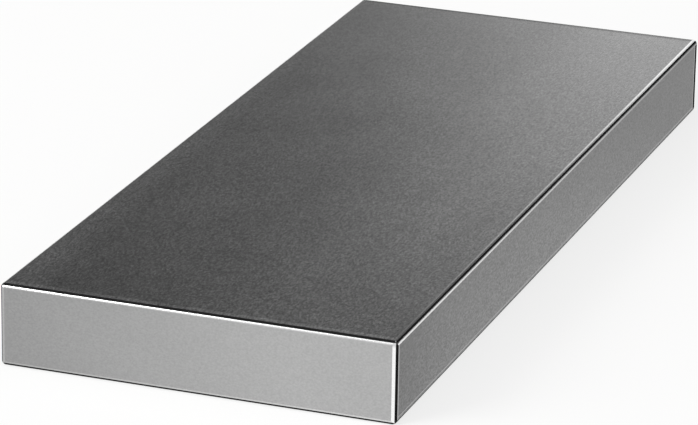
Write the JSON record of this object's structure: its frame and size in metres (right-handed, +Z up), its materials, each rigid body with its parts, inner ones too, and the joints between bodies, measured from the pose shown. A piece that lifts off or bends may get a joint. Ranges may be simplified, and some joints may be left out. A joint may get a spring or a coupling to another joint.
{
  "type": "ground steel plate",
  "caption": "Flat rectangular plate of bare ground steel stock with chamfered edges, used as a blank for base plates, fixtures and machine parts.",
  "frame": {"origin": "middle of the underside, on the plane that the plate lies on", "axes": "+X across the width to the right of the front end, +Y along the length from the front end to the back end, +Z up out of the top face"},
  "size_m": [0.12, 0.3, 0.025],
  "materials": {
    "ground_steel": "fine ground, satin, bare and neutral grey, with brighter chamfers"
  },
  "bodies": {
    "root": {"plate": "ground_steel"}
  },
  "joints": []
}
